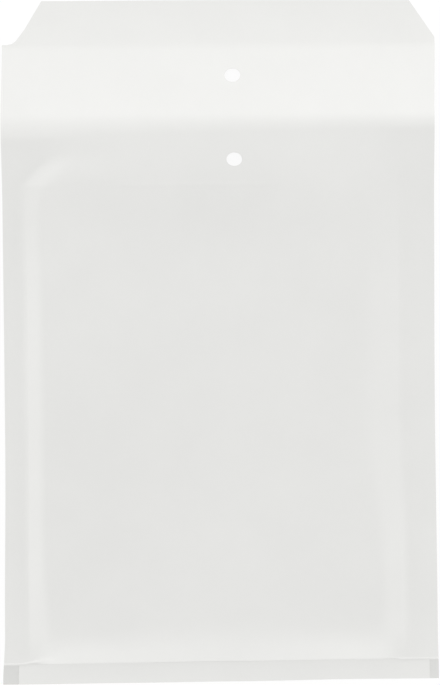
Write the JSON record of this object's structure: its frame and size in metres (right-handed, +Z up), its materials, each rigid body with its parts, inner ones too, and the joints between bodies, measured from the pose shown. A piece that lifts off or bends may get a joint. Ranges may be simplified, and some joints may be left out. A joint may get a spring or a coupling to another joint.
{
  "type": "padded envelope",
  "caption": "White paper mailing envelope lined with bubble film, lying address side up with its die-cut flap open.",
  "frame": {"origin": "on the surface the envelope lies on, under the middle of its outline", "axes": "+Z up through the address side, +Y along the envelope towards the open flap, +X to the right when the flap points away"},
  "size_m": [0.171, 0.2684, 0.0063],
  "materials": {
    "paper_envelope": "uncoated white kraft paper, matte",
    "bubble_liner": "clear bubble film, drawn as a milky solid",
    "peel_strip": "siliconised release paper, faint sheen"
  },
  "bodies": {
    "root": {"paper_envelope": "paper_envelope", "bubble_liner": "bubble_liner", "peel_strip": "peel_strip"}
  },
  "joints": []
}
